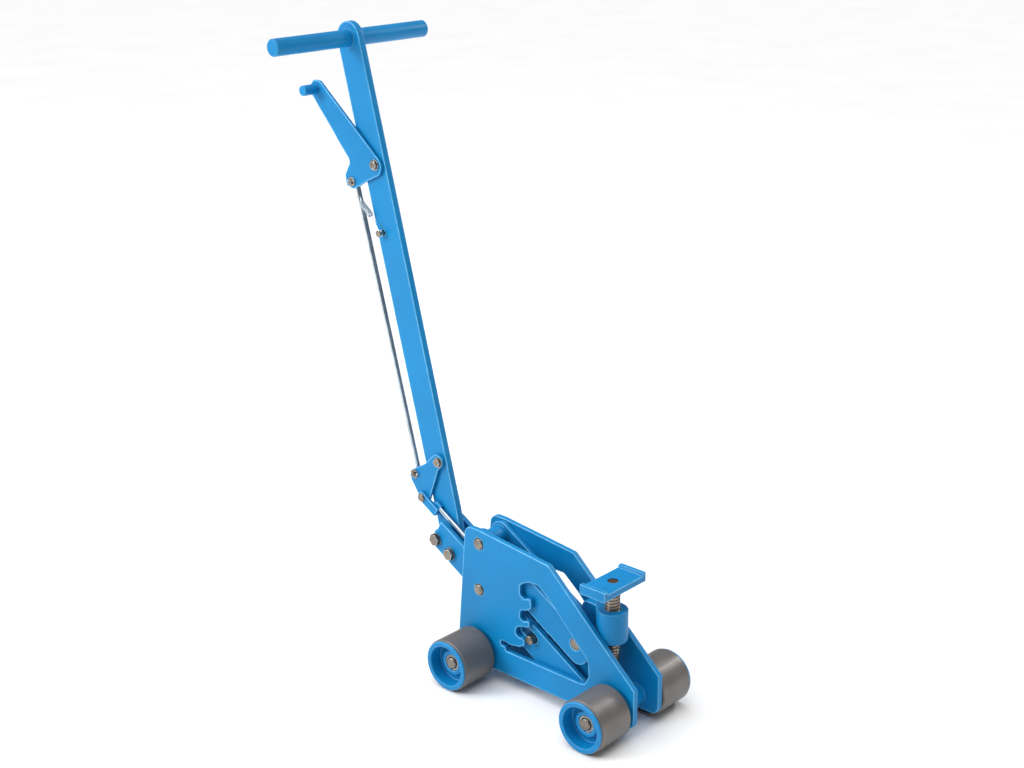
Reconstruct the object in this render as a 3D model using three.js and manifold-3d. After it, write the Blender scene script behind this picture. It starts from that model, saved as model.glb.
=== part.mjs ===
// Mechanical lever trolley jack: two side plates on four rollers, a parallelogram
// lifting linkage (lower arm with the handle, upper arm, saddle carrier), a screw
// saddle, and a release linkage that draws a locking pin into the gate notches.
// Millimetres. +X forward (towards the saddle), +Y left, +Z up, floor at z = 0,
// y = 0 in the middle plane. The working x values below are counted from the rear
// axle; every piece is then shifted by SHIFT_X, so that x = 0 is mid-length.
import * as THREE from 'three';
import { mergeVertices } from 'three/addons/utils/BufferGeometryUtils.js';
import Module from 'manifold-3d';

const wasm = await Module();
wasm.setup();

// ---------------------------------------------------------------- dimensions
const SHIFT_X = 28.84;              // rear axle to the middle of the overall length
const GAP = 0.3;                    // fit clearance between neighbouring pieces
const WHEEL_R = 42.5;               // roller radius
const WHEELBASE = 276.5;
const WHEEL_Y0 = 38.9, WHEEL_Y1 = 110;   // roller inner and outer faces
const AXLE_R = 10;
const PLATE_OUT = 34.2, PLATE_T = 8.6;   // side plates
const PLATE_IN = PLATE_OUT - PLATE_T;
const ARM_OUT = 24.7, ARM_T = 8.0;       // arm cheeks
const ARM_IN = ARM_OUT - ARM_T;
const P1 = [4, 229.5];              // upper arm pivot
const P2 = [4, 150];                // lower arm pivot
const ARM_VEC = [191, -112.5];      // pivot to carrier pin, at rest
const A = [P1[0] + ARM_VEC[0], P1[1] + ARM_VEC[1]];
const B = [P2[0] + ARM_VEC[0], P2[1] + ARM_VEC[1]];
const PIN_R = 9.5, CARRIER_PIN_R = 9.4;
const BAR_W = 50, BAR_T = 11.6;     // handle flat bar
const BAR_LEAN = -0.2563;           // lean of the bar from vertical, rad
const TBAR = [-288.5, 986.9], TBAR_R = 13.3, TBAR_HALF = 156.3;
const LEVER_PIVOT = [-230.7, 797.3], CRANK_PIVOT = [-104.8, 331.6];
const LINK_VEC = [-54.5, -34];      // lever and crank arm to the rod pins
const LEVER_PIN = [LEVER_PIVOT[0] + LINK_VEC[0], LEVER_PIVOT[1] + LINK_VEC[1]];
const CRANK_PIN = [CRANK_PIVOT[0] + LINK_VEC[0], CRANK_PIVOT[1] + LINK_VEC[1]];
const CRANK_LOW = [-138.7, 263.2];  // crank pin that drives the push rod
const PUSH_DIR = [0.8572, -0.5150]; // push rod axis, towards the gate
const PUSH_PT = [-78, 236.2], PUSH_Y = -11.3, PUSH_R = 3.5;
const LOCK = [110, 97.5], LOCK_R = 7.5, LOCK_TRAVEL = 18;
const SLEEVE = [247.5, 136, 187], SLEEVE_R = 24.2;
const SCREW_R = 11.8, SCREW_Z0 = 84, SCREW_PITCH = 5;
const SADDLE_Z0 = 221.8, SADDLE_Z1 = 232.7, LIP_Z = 237.2, SADDLE_Y = 49, SADDLE_X = 24;

// ---------------------------------------------------------------- helpers
const BLUE = 0x2a8ccb, STEEL = 0x9a948c, TREAD = 0x6c6a6a, ROD = 0xb9c4cb;
const blue = () => new THREE.MeshStandardMaterial({ color: BLUE, roughness: 0.42, metalness: 0.1 });
const steel = () => new THREE.MeshStandardMaterial({ color: STEEL, roughness: 0.35, metalness: 0.9 });
const tread = () => new THREE.MeshStandardMaterial({ color: TREAD, roughness: 0.7, metalness: 0.0 });
const bright = () => new THREE.MeshStandardMaterial({ color: ROD, roughness: 0.25, metalness: 0.9 });

const group = new THREE.Group();
group.name = 'lever_jack';

function solid(geo) {
  let g = geo.clone();
  g.deleteAttribute('normal'); g.deleteAttribute('uv');
  g = mergeVertices(g, 1e-4);
  const pos = g.attributes.position.array;
  let idx = Array.from(g.index.array);
  const tri = [];
  for (let i = 0; i < idx.length; i += 3) {
    if (idx[i] !== idx[i + 1] && idx[i + 1] !== idx[i + 2] && idx[i] !== idx[i + 2]) tri.push(idx[i], idx[i + 1], idx[i + 2]);
  }
  let vol = 0;
  for (let i = 0; i < tri.length; i += 3) {
    const [a, b, c] = [tri[i] * 3, tri[i + 1] * 3, tri[i + 2] * 3];
    vol += pos[a] * (pos[b + 1] * pos[c + 2] - pos[b + 2] * pos[c + 1])
         - pos[a + 1] * (pos[b] * pos[c + 2] - pos[b + 2] * pos[c])
         + pos[a + 2] * (pos[b] * pos[c + 1] - pos[b + 1] * pos[c]);
  }
  if (vol < 0) for (let i = 0; i < tri.length; i += 3) [tri[i + 1], tri[i + 2]] = [tri[i + 2], tri[i + 1]];
  return new wasm.Manifold(new wasm.Mesh({ numProp: 3, vertProperties: new Float32Array(pos), triVerts: new Uint32Array(tri) }));
}
function toGeo(m) {
  const k = m.getMesh();
  const g = new THREE.BufferGeometry();
  g.setAttribute('position', new THREE.BufferAttribute(new Float32Array(k.vertProperties), 3));
  g.setIndex(new THREE.BufferAttribute(new Uint32Array(k.triVerts), 1));
  g.computeVertexNormals();
  return g;
}
function add(name, m, material) {
  const mesh = new THREE.Mesh(toGeo(m.translate(SHIFT_X, 0, 0)), material);
  mesh.name = name;
  group.add(mesh);
  return m;
}
// polygon in x,z with an optional radius on each corner
function rounded(pts, seg = 5) {
  const out = [];
  const n = pts.length;
  for (let i = 0; i < n; i++) {
    const p = pts[i], r = p[2] || 0;
    if (!r) { out.push([p[0], p[1]]); continue; }
    const a = pts[(i + n - 1) % n], b = pts[(i + 1) % n];
    const va = [a[0] - p[0], a[1] - p[1]], vb = [b[0] - p[0], b[1] - p[1]];
    const la = Math.hypot(...va), lb = Math.hypot(...vb);
    const ua = [va[0] / la, va[1] / la], ub = [vb[0] / lb, vb[1] / lb];
    const ang = Math.acos(Math.max(-1, Math.min(1, ua[0] * ub[0] + ua[1] * ub[1])));
    let d = r / Math.tan(ang / 2);
    d = Math.min(d, la * 0.49, lb * 0.49);
    const rr = d * Math.tan(ang / 2);
    const bis = [ua[0] + ub[0], ua[1] + ub[1]], lbis = Math.hypot(...bis);
    const c = [p[0] + bis[0] / lbis * rr / Math.sin(ang / 2), p[1] + bis[1] / lbis * rr / Math.sin(ang / 2)];
    const s = [p[0] + ua[0] * d, p[1] + ua[1] * d], e = [p[0] + ub[0] * d, p[1] + ub[1] * d];
    let a0 = Math.atan2(s[1] - c[1], s[0] - c[0]), a1 = Math.atan2(e[1] - c[1], e[0] - c[0]);
    let da = a1 - a0;
    while (da > Math.PI) da -= 2 * Math.PI;
    while (da < -Math.PI) da += 2 * Math.PI;
    for (let k = 0; k <= seg; k++) out.push([c[0] + rr * Math.cos(a0 + da * k / seg), c[1] + rr * Math.sin(a0 + da * k / seg)]);
  }
  return out;
}
// extrusion of an x,z polygon between two y values
function prism(pts, y0, y1) {
  const shape = new THREE.Shape(pts.map(p => new THREE.Vector2(p[0], p[1])));
  const g = new THREE.ExtrudeGeometry(shape, { depth: y1 - y0, bevelEnabled: false });
  g.rotateX(Math.PI / 2);
  g.translate(0, y1, 0);
  return solid(g);
}
function plate(pts, y0, y1, holes = []) {
  let m = prism(pts, y0, y1);
  for (const h of holes) m = m.subtract(prism(h, y0 - 2, y1 + 2));
  return m;
}
function ring(c, r, n = 16) {
  const o = [];
  for (let i = 0; i < n; i++) o.push([c[0] + r * Math.cos(2 * Math.PI * i / n), c[1] + r * Math.sin(2 * Math.PI * i / n)]);
  return o;
}
function slotRing(a, b, r, n = 10) {
  const t = Math.atan2(b[1] - a[1], b[0] - a[0]), o = [];
  for (let i = 0; i <= n; i++) o.push([b[0] + r * Math.cos(t - Math.PI / 2 + Math.PI * i / n), b[1] + r * Math.sin(t - Math.PI / 2 + Math.PI * i / n)]);
  for (let i = 0; i <= n; i++) o.push([a[0] + r * Math.cos(t + Math.PI / 2 + Math.PI * i / n), a[1] + r * Math.sin(t + Math.PI / 2 + Math.PI * i / n)]);
  return o;
}
// revolved profile of [radius, y] points about a y axis through c
function latheY(profile, c, seg = 32) {
  const g = new THREE.LatheGeometry(profile.map(p => new THREE.Vector2(p[0], p[1])), seg);
  g.translate(c[0], 0, c[1]);
  return solid(g);
}
function rod(c, r, y0, y1, ch = 1, seg = 14) {
  return latheY([[0, y0], [r - ch, y0], [r, y0 + ch], [r, y1 - ch], [r - ch, y1], [0, y1]], c, seg);
}
function tube(c, ro, ri, y0, y1, seg = 16) {
  return latheY([[ri, y0], [ro, y0], [ro, y1], [ri, y1], [ri, y0]], c, seg);
}
// revolved profile of [radius, z] points about a z axis through x,y
function latheZ(profile, x, y, seg = 32) {
  const g = new THREE.LatheGeometry(profile.map(p => new THREE.Vector2(p[0], p[1])), seg);
  g.rotateX(Math.PI / 2);
  g.translate(x, y, 0);
  return solid(g);
}
function box(x0, x1, y0, y1, z0, z1) {
  const g = new THREE.BoxGeometry(x1 - x0, y1 - y0, z1 - z0);
  g.translate((x0 + x1) / 2, (y0 + y1) / 2, (z0 + z1) / 2);
  return solid(g);
}
// straight round bar between two 3-D points
function barBetween(p, q, r, seg = 16) {
  const a = new THREE.Vector3(...p), b = new THREE.Vector3(...q), d = b.clone().sub(a);
  const g = new THREE.CylinderGeometry(r, r, d.length(), seg);
  g.applyQuaternion(new THREE.Quaternion().setFromUnitVectors(new THREE.Vector3(0, 1, 0), d.clone().normalize()));
  g.translate((p[0] + q[0]) / 2, (p[1] + q[1]) / 2, (p[2] + q[2]) / 2);
  return solid(g);
}
const along = (p, d, s) => [p[0] + d[0] * s, p[1] + d[1] * s];

// ---------------------------------------------------------------- frame
const plateOutline = rounded([
  [-25.6, 253.6, 19], [3, 253.3, 30], [149, 238, 8], [318.6, 86.2, 3], [318.6, 20, 14], [-46.5, 20, 14],
], 6);
// gate: the opening the locking pin runs in, with its notches along the rear side
const gate = rounded([
  [113, 197.6, 4], [129, 197.8, 9], [157, 175.5, 30], [229, 104, 16], [230.4, 78, 9], [222, 62.4, 9],
  [206, 61.2, 3], [66, 61.2, 2], [61, 60.8, 4], [58.5, 67.5, 2.5], [49.5, 68.6, 3], [49.2, 77.2, 4.2], [60, 76.8, 2],
  [70, 75.2, 2], [90, 78.8, 3], [99.6, 84.5, 4], [100.2, 92.2, 3.4], [94.8, 95.6, 2.2],
  [88.5, 94.6, 5], [80.8, 99.2, 6.5], [82.6, 110.6, 6.5], [92.5, 115.6, 2.5], [104, 117.2, 2], [110, 120, 3.4], [110.2, 128.4, 3.6], [105, 129.2, 2],
  [97.2, 125.6, 4.5], [90.2, 129.8, 6], [91.6, 143.4, 6.5], [106, 147.4, 3], [114.2, 153.4, 5], [113.2, 167.4, 4.4], [108.2, 168.4, 2],
  [100.2, 165.2, 4.5], [91, 168.6, 6.5], [90.8, 186.5, 8], [101, 193.2, 5],
], 3);
for (const [side, s] of [['right', -1], ['left', 1]]) {
  const y0 = s < 0 ? -PLATE_OUT : PLATE_IN, y1 = s < 0 ? -PLATE_IN : PLATE_OUT;
  add('side_plate_' + side, plate(plateOutline, y0, y1, [
    gate, ring(P1, PIN_R + GAP), ring(P2, PIN_R + GAP), ring([0, WHEEL_R], AXLE_R + GAP), ring([WHEELBASE, WHEEL_R], AXLE_R + GAP),
  ]), blue());
}
for (const [name, x] of [['rear', 0], ['front', WHEELBASE]]) {
  add(name + '_axle', rod([x, WHEEL_R], AXLE_R, -WHEEL_Y1 + 12.5, WHEEL_Y1 - 12.5, 2), steel());
  add(name + '_axle_spacer', tube([x, WHEEL_R], 17, AXLE_R + GAP, -PLATE_IN + GAP, PLATE_IN - GAP), blue());
}
add('upper_pivot_pin', rod(P1, PIN_R, -PLATE_OUT - 2.6, PLATE_OUT + 2.6, 1.2), steel());
add('lower_pivot_pin', rod(P2, PIN_R, -PLATE_OUT - 2.6, PLATE_OUT + 2.6, 1.2), steel());

// ---------------------------------------------------------------- rollers
for (const [end, x] of [['rear', 0], ['front', WHEELBASE]]) {
  for (const [side, s] of [['right', -1], ['left', 1]]) {
    const c = [x, WHEEL_R], Y = v => s * v;
    const rim = WHEEL_R - 0.6;
    // steel hub: thin rim, deep annular recess in the outer face, bored boss
    add(`${end}_${side}_hub`, latheY([
      [AXLE_R + GAP, Y(WHEEL_Y0)], [20, Y(WHEEL_Y0)], [20, Y(WHEEL_Y0 + 4)], [36.8, Y(WHEEL_Y0 + 4)], [36.8, Y(WHEEL_Y1 - 3.4)],
      [rim - 1.2, Y(WHEEL_Y1 - 3.4)], [rim - 1.2, Y(WHEEL_Y1 - 0.8)], [rim - 2.2, Y(WHEEL_Y1)], [33.6, Y(WHEEL_Y1)], [32.6, Y(WHEEL_Y1 - 1)],
      [31.8, Y(WHEEL_Y1 - 22)], [21, Y(WHEEL_Y1 - 22)], [20.4, Y(WHEEL_Y1 - 15.8)], [19.4, Y(WHEEL_Y1 - 15)],
      [14, Y(WHEEL_Y1 - 15)], [14, Y(WHEEL_Y1 - 18)], [AXLE_R + GAP, Y(WHEEL_Y1 - 18)], [AXLE_R + GAP, Y(WHEEL_Y0)],
    ], c, 20), blue());
    // tread with a flat facet on the floor, and its facets touching the rolling circle
    const tr = WHEEL_R / Math.cos(Math.PI / 20);
    const tg = new THREE.LatheGeometry([
      [37.6, Y(WHEEL_Y0 + 1)], [tr - 2, Y(WHEEL_Y0 + 1)], [tr, Y(WHEEL_Y0 + 3)], [tr, Y(WHEEL_Y1 - 5)], [tr - 1.2, Y(WHEEL_Y1 - 3.8)],
      [37.6, Y(WHEEL_Y1 - 3.8)], [37.6, Y(WHEEL_Y0 + 1)],
    ].map(p => new THREE.Vector2(p[0], p[1])), 20);
    tg.rotateY(Math.PI / 20);
    tg.translate(c[0], 0, c[1]);
    add(`${end}_${side}_tread`, solid(tg), tread());
    // retaining ring on the axle end, open on one side
    const rr = plate([...ring(c, 13.2, 16).slice(0, 23), ...ring(c, 10.35, 16).slice(0, 23).reverse()],
      s < 0 ? -WHEEL_Y1 + 15.7 : WHEEL_Y1 - 17.5, s < 0 ? -WHEEL_Y1 + 17.5 : WHEEL_Y1 - 15.7);
    add(`${end}_${side}_retaining_ring`, rr, steel());
  }
}

// ---------------------------------------------------------------- lower arm and handle
const armDir = [ARM_VEC[0] / Math.hypot(...ARM_VEC), ARM_VEC[1] / Math.hypot(...ARM_VEC)];
const armNor = [-armDir[1], armDir[0]];
const onArm = (p, s, t) => [p[0] + armDir[0] * s + armNor[0] * t, p[1] + armDir[1] * s + armNor[1] * t];
const BOLT1 = [-99, 203.5], BOLT2 = [-68, 187.2];
const lockBack = along(LOCK, PUSH_DIR, -LOCK_TRAVEL);
const lowerCheek = rounded([
  [-113.4, 193.2, 3], [-88.6, 237.2, 3], [...onArm(P2, 236, 29.2), 16], [...onArm(P2, 243, -4), 16], [...onArm(P2, 226, -21), 12],
  [...onArm(P2, -110, -21), 30],
], 5);
for (const [side, s] of [['right', -1], ['left', 1]]) {
  const y0 = s < 0 ? -ARM_OUT : ARM_IN, y1 = s < 0 ? -ARM_IN : ARM_OUT;
  add('lower_arm_cheek_' + side, plate(lowerCheek, y0, y1, [
    ring(P2, PIN_R + GAP), ring(BOLT1, 8 + GAP), ring(BOLT2, 8 + GAP), ring(B, CARRIER_PIN_R + GAP),
    slotRing(along(LOCK, PUSH_DIR, 0.8), along(lockBack, PUSH_DIR, -0.8), LOCK_R + 0.7),
  ]), blue());
}
add('lower_pivot_tube', tube(P2, 15.5, PIN_R + GAP, -ARM_IN + GAP, ARM_IN - GAP), blue());
const barDir = [Math.sin(BAR_LEAN), Math.cos(BAR_LEAN)], barNor = [barDir[1], -barDir[0]];
const onBar = (s, t) => [TBAR[0] - barDir[0] * s + barNor[0] * t, TBAR[1] - barDir[1] * s + barNor[1] * t];
const barTop = [];
for (let i = 0; i <= 14; i++) {
  const a = Math.PI * i / 14;
  barTop.push([TBAR[0] + barNor[0] * 25 * Math.cos(a) + barDir[0] * 26 * Math.sin(a), TBAR[1] + barNor[1] * 25 * Math.cos(a) + barDir[1] * 26 * Math.sin(a)]);
}
const barOutline = [...barTop, onBar(798, -25), [-104.5, 190.4], [-98, 186], [-62, 168.6], [-54, 170], onBar(760, 25)];
add('handle_bar', plate(barOutline, -BAR_T / 2, BAR_T / 2, [
  ring(TBAR, TBAR_R + GAP, 32), ring(BOLT1, 8 + GAP), ring(BOLT2, 8 + GAP), ring(LEVER_PIVOT, 5 + GAP, 20), ring(CRANK_PIVOT, 5 + GAP, 20), ring([-223, 689], 4 + GAP, 16),
]), blue());
add('t_bar', rod(TBAR, TBAR_R, -TBAR_HALF, TBAR_HALF, 1, 32), blue());
for (const [side, s] of [['right', -1], ['left', 1]]) {
  const y0 = s < 0 ? -ARM_IN + GAP : BAR_T / 2 + GAP, y1 = s < 0 ? -BAR_T / 2 - GAP : ARM_IN - GAP;
  add('handle_packer_' + side, plate(slotRing(BOLT1, BOLT2, 15, 8), y0, y1, [ring(BOLT1, 8 + GAP), ring(BOLT2, 8 + GAP)]), blue());
}
const hex = (c, r) => [0, 1, 2, 3, 4, 5].map(i => [c[0] + r * Math.cos(i * Math.PI / 3 + 0.3), c[1] + r * Math.sin(i * Math.PI / 3 + 0.3)]);
for (const [n, c] of [['front', BOLT2], ['rear', BOLT1]]) {
  const head = rod(c, 10.6, -ARM_OUT - GAP - 8, -ARM_OUT - GAP, 1.6, 16);
  const shank = rod(c, 8, -ARM_OUT - 4, ARM_OUT + 13, 1, 20);
  add(`handle_bolt_${n}`, head.add(shank), steel());
  add(`handle_nut_${n}`, plate(hex(c, 13.2), ARM_OUT + GAP, ARM_OUT + 11, [ring(c, 8 + GAP, 20)]), steel());
}
add('spring_stud', rod([-223, 689], 4, -15.5, 5, 0.6, 14).add(rod([-223, 689], 5.4, -17.5, -15, 0.6, 14)), steel());
for (const [n, c] of [['lever', LEVER_PIVOT], ['crank', CRANK_PIVOT]]) {
  add(`${n}_pivot_bolt`, rod(c, 5, -14, 5.4, 0.6, 14).add(rod(c, 9, -17.2, -12.2, 1.2, 16)), steel());
}
add('carrier_pin_lower', rod(B, CARRIER_PIN_R, -ARM_OUT - 0.2, ARM_OUT + 0.2, 0.6), steel());

// ---------------------------------------------------------------- upper arm
const upperOutline = [];
{
  // round rear end about the pivot, then a slightly deeper bar to a rounded front end
  const base = Math.atan2(armNor[1], armNor[0]);
  for (let i = 0; i <= 10; i++) { const a = base + Math.PI * 0.94 * i / 10; upperOutline.push([P1[0] + 21 * Math.cos(a), P1[1] + 21 * Math.sin(a)]); }
  upperOutline.push(onArm(P1, 20, -28));
  upperOutline.push(onArm(P1, 236, -28), onArm(P1, 243, -24.5), onArm(P1, 249, -18), onArm(P1, 252, -8), onArm(P1, 253, 0), onArm(P1, 251, 9), onArm(P1, 246, 16), onArm(P1, 238, 20), onArm(P1, 222, 21));
}
for (const [side, s] of [['right', -1], ['left', 1]]) {
  const y0 = s < 0 ? -ARM_OUT : ARM_IN, y1 = s < 0 ? -ARM_IN : ARM_OUT;
  add('upper_arm_cheek_' + side, plate(upperOutline, y0, y1, [ring(P1, PIN_R + GAP), ring(A, CARRIER_PIN_R + GAP)]), blue());
}
add('upper_pivot_tube', tube(P1, 15.5, PIN_R + GAP, -ARM_IN + GAP, ARM_IN - GAP), blue());
add('carrier_pin_upper', rod(A, CARRIER_PIN_R, -ARM_OUT - 0.2, ARM_OUT + 0.2, 0.6), steel());

// ---------------------------------------------------------------- saddle carrier
const carrierOutline = rounded([
  [B[0] - 17, B[1] - 17, 16], [B[0] + 17, B[1] - 17, 16], [B[0] + 20, 96, 10], [SLEEVE[0] - 25.4, 132, 4], [SLEEVE[0] - 25.4, 186, 2],
  [197, 186, 8], [A[0] - 17, 148, 12],
], 4);
let carrier = plate(carrierOutline, -BAR_T / 2, BAR_T / 2);
for (const c of [A, B]) carrier = carrier.add(rod(c, 14.5, -ARM_IN + 0.5, ARM_IN - 0.5, 0.6, 16));
carrier = carrier.subtract(rod(B, CARRIER_PIN_R + GAP, -40, 40, 0.1, 16)).subtract(rod(A, CARRIER_PIN_R + 0.9, -40, 40, 0.1, 16));
add('carrier_plate', carrier, blue());
add('threaded_sleeve', latheZ([
  [12.6, SLEEVE[1]], [SLEEVE_R - 1.2, SLEEVE[1]], [SLEEVE_R, SLEEVE[1] + 1.2], [SLEEVE_R, SLEEVE[2] - 1.2], [SLEEVE_R - 1.2, SLEEVE[2]], [12.6, SLEEVE[2]], [12.6, SLEEVE[1]],
], SLEEVE[0], 0, 28), blue());

// ---------------------------------------------------------------- screw and saddle
{
  // plain to the thread crest; the thread runs inside this cylinder
  const prof = [[0, SCREW_Z0], [SCREW_R - 2, SCREW_Z0], [SCREW_R, SCREW_Z0 + 2], [SCREW_R, SADDLE_Z0 - 9], [SCREW_R + 0.6, SADDLE_Z0 - 8], [SCREW_R + 0.6, SADDLE_Z0 - 4],
    [8, SADDLE_Z0 - 4], [8, SADDLE_Z1 - 0.4], [7.2, SADDLE_Z1 + 0.2], [0, SADDLE_Z1 + 0.2]];
  add('lift_screw', latheZ(prof, SLEEVE[0], 0, 18), steel());
  add('thrust_washer', latheZ([[8.4, SADDLE_Z0 - 3.6], [15, SADDLE_Z0 - 3.6], [15, SADDLE_Z0 - GAP], [8.4, SADDLE_Z0 - GAP], [8.4, SADDLE_Z0 - 3.6]], SLEEVE[0], 0, 22), steel());
  // flat saddle with a raised lip across each end
  const g = new THREE.Shape([[-SADDLE_Y, SADDLE_Z0], [SADDLE_Y, SADDLE_Z0], [SADDLE_Y, LIP_Z - 1], [SADDLE_Y - 1, LIP_Z], [SADDLE_Y - 6, LIP_Z], [SADDLE_Y - 8.5, SADDLE_Z1],
    [-SADDLE_Y + 8.5, SADDLE_Z1], [-SADDLE_Y + 6, LIP_Z], [-SADDLE_Y + 1, LIP_Z], [-SADDLE_Y, LIP_Z - 1]].map(p => new THREE.Vector2(p[0], p[1])));
  const e = new THREE.ExtrudeGeometry(g, { depth: 2 * SADDLE_X, bevelEnabled: false });
  // shape x -> +Y, shape y -> +Z, depth -> +X
  const m = new THREE.Matrix4().set(0, 0, 1, SLEEVE[0] - SADDLE_X, 1, 0, 0, 0, 0, 1, 0, 0, 0, 0, 0, 1);
  e.applyMatrix4(m);
  add('saddle', solid(e).subtract(latheZ([[0, 200], [8.4, 200], [8.4, 250], [0, 250]], SLEEVE[0], 0, 28)), blue());
}

// ---------------------------------------------------------------- release linkage
const leverOutline = rounded([
  [-372.5, 892, 2], [-376.5, 905, 6], [-368, 916.5, 9], [-351, 915.5, 7], [-329.2, 888.7], [-306.7, 871.5, 20], [-284.4, 853.6], [-259.9, 836, 20], [-240.1, 819.6], [-222.5, 806.5, 8],
  [-216, 796, 8], [-221, 782, 10], [-252, 768.2, 14], [-268, 758.5, 10], [-283.5, 751.2, 10], [-298.5, 757, 9], [-300.5, 773, 8], [-289, 793, 6], [-291, 800, 8], [-309.8, 820.4, 20], [-331.9, 846.5, 20], [-354.2, 871, 20],
], 3);
add('release_lever', plate(leverOutline, -11.8, -6.8, [ring(LEVER_PIVOT, 5.3, 20), ring(LEVER_PIN, 4.3, 18), ring([-363, 902], 6.3, 20)]), blue());
add('lever_knob', rod([-363, 902], 6, -39.8, -6.4, 0.9, 16).add(rod([-363, 902], 8.2, -39.8, -12.1, 1.2, 16)), blue());
const crankOutline = rounded([
  [-150.5, 312.5, 2], [-136, 321, 4], [-112, 345, 10], [-95, 340, 9], [-97, 326, 6], [-106, 318], [-119, 283, 4], [-128.5, 255.5, 7], [-140, 251.5, 8], [-152, 263, 6], [-169, 286, 8], [-170, 301, 7],
], 3);
add('bell_crank', plate(crankOutline, -11.8, -6.8, [ring(CRANK_PIVOT, 5.3, 20), ring(CRANK_PIN, 4.3, 18), ring(CRANK_LOW, 4.8, 18)]), blue());
{
  // round pull rod with an eye at each end, behind the lever and crank plates
  const u = [CRANK_PIN[0] - LEVER_PIN[0], CRANK_PIN[1] - LEVER_PIN[1]], L = Math.hypot(...u), d = [u[0] / L, u[1] / L];
  const s = along(LEVER_PIN, d, 6), e = along(CRANK_PIN, d, -6);
  let r = barBetween([s[0], -1.6, s[1]], [e[0], -1.6, e[1]], 4.1, 18);
  for (const c of [LEVER_PIN, CRANK_PIN]) r = r.add(rod(c, 9, -5.6, 2.4, 0.8, 16));
  r = r.subtract(rod(LEVER_PIN, 4.3, -20, 20, 0.1, 20)).subtract(rod(CRANK_PIN, 4.8, -20, 20, 0.1, 20));
  add('pull_rod', r, bright());
  add('lever_clevis_pin', rod(LEVER_PIN, 4, -17, 3, 0.5, 18).add(rod(LEVER_PIN, 6.4, 3, 5.6, 0.6, 18)), steel());
  add('crank_clevis_pin', rod(CRANK_PIN, 4, -17, 3, 0.5, 18).add(rod(CRANK_PIN, 6.4, 3, 5.6, 0.6, 18)), steel());
}
add('crank_link_pin', rod(CRANK_LOW, 4.5, -21, -6, 0.6, 14).add(rod(CRANK_LOW, 7, -21, -18.4, 1, 20)), steel());
{
  const nor = [-PUSH_DIR[1], PUSH_DIR[0]];
  const P = (s, t) => [CRANK_LOW[0] + PUSH_DIR[0] * s + nor[0] * t, CRANK_LOW[1] + PUSH_DIR[1] * s + nor[1] * t];
  // offset of the push rod axis from the link pin, across the rod
  const off = (PUSH_PT[0] - CRANK_LOW[0]) * nor[0] + (PUSH_PT[1] - CRANK_LOW[1]) * nor[1];
  let c = plate(rounded([P(-9, -8), P(-9, 8), P(37, 8), P(37, -8)].map((p, i) => [...p, i < 2 ? 7 : 1.5]), 4), -17.8, -12.2);
  c = c.add(plate([P(19.5, -8), P(19.5, 8), P(37, 8), P(37, -8)], -13, -6.8));
  c = c.subtract(rod(CRANK_LOW, 6, -30, 0, 0.1, 16));
  const a = P(22, off), b = P(60, off);
  c = c.subtract(barBetween([a[0], PUSH_Y, a[1]], [b[0], PUSH_Y, b[1]], PUSH_R + GAP, 18));
  add('push_clevis', c, blue());
  const r0 = P(23, off), sLock = (LOCK[0] - CRANK_LOW[0]) * PUSH_DIR[0] + (LOCK[1] - CRANK_LOW[1]) * PUSH_DIR[1];
  const r1 = P(sLock - 4, off);
  add('push_rod', barBetween([r0[0], PUSH_Y, r0[1]], [r1[0], PUSH_Y, r1[1]], PUSH_R, 18), bright());
  // slider that carries the locking pin between the arm cheeks
  const Q = (s, t) => [LOCK[0] + PUSH_DIR[0] * s + nor[0] * t, LOCK[1] + PUSH_DIR[1] * s + nor[1] * t];
  const rise = (PUSH_PT[0] - LOCK[0]) * nor[0] + (PUSH_PT[1] - LOCK[1]) * nor[1];
  let k = plate(rounded([Q(-15, -14), Q(-15, rise + 7), Q(13, rise + 7), Q(13, -14)].map(p => [...p, 5]), 4), -ARM_IN + 1, ARM_IN - 1);
  k = k.subtract(rod(LOCK, LOCK_R + GAP, -40, 40, 0.1, 16));
  const k0 = Q(-20, rise), k1 = Q(-3, rise);
  k = k.subtract(barBetween([k0[0], PUSH_Y, k0[1]], [k1[0], PUSH_Y, k1[1]], PUSH_R + GAP, 18));
  add('lock_slider', k, blue());
  add('locking_pin', rod(LOCK, LOCK_R, -PLATE_OUT - 1.6, PLATE_OUT + 1.6, 1.2, 16), steel());
}
{
  // return spring from the pull rod to the stud, as its outer envelope
  add('return_spring', barBetween([-270, -9.2, 724], [-229.5, -11.2, 694.5], 4.9, 14), bright());
}

export default group;
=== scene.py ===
import math
import random
import bpy
from mathutils import Vector, Matrix
from mathutils.geometry import tessellate_polygon


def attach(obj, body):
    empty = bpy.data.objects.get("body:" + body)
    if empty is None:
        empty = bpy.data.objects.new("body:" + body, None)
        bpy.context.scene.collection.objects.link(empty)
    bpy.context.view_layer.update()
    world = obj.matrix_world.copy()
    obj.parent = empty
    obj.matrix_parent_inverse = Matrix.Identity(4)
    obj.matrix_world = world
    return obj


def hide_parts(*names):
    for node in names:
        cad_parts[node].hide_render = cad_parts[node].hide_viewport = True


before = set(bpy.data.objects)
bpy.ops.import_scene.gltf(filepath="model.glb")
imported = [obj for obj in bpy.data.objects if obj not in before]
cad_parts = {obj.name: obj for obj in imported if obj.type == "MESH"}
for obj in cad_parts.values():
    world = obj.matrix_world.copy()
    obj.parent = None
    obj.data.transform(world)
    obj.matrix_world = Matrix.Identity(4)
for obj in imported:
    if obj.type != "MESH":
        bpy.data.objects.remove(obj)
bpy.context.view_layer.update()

SX = 28.84                      # rear axle to mid-length, mm; working x is from the rear axle


def mm(x, y, z):
    return Vector(((x + SX) * 0.001, y * 0.001, z * 0.001))


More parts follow.
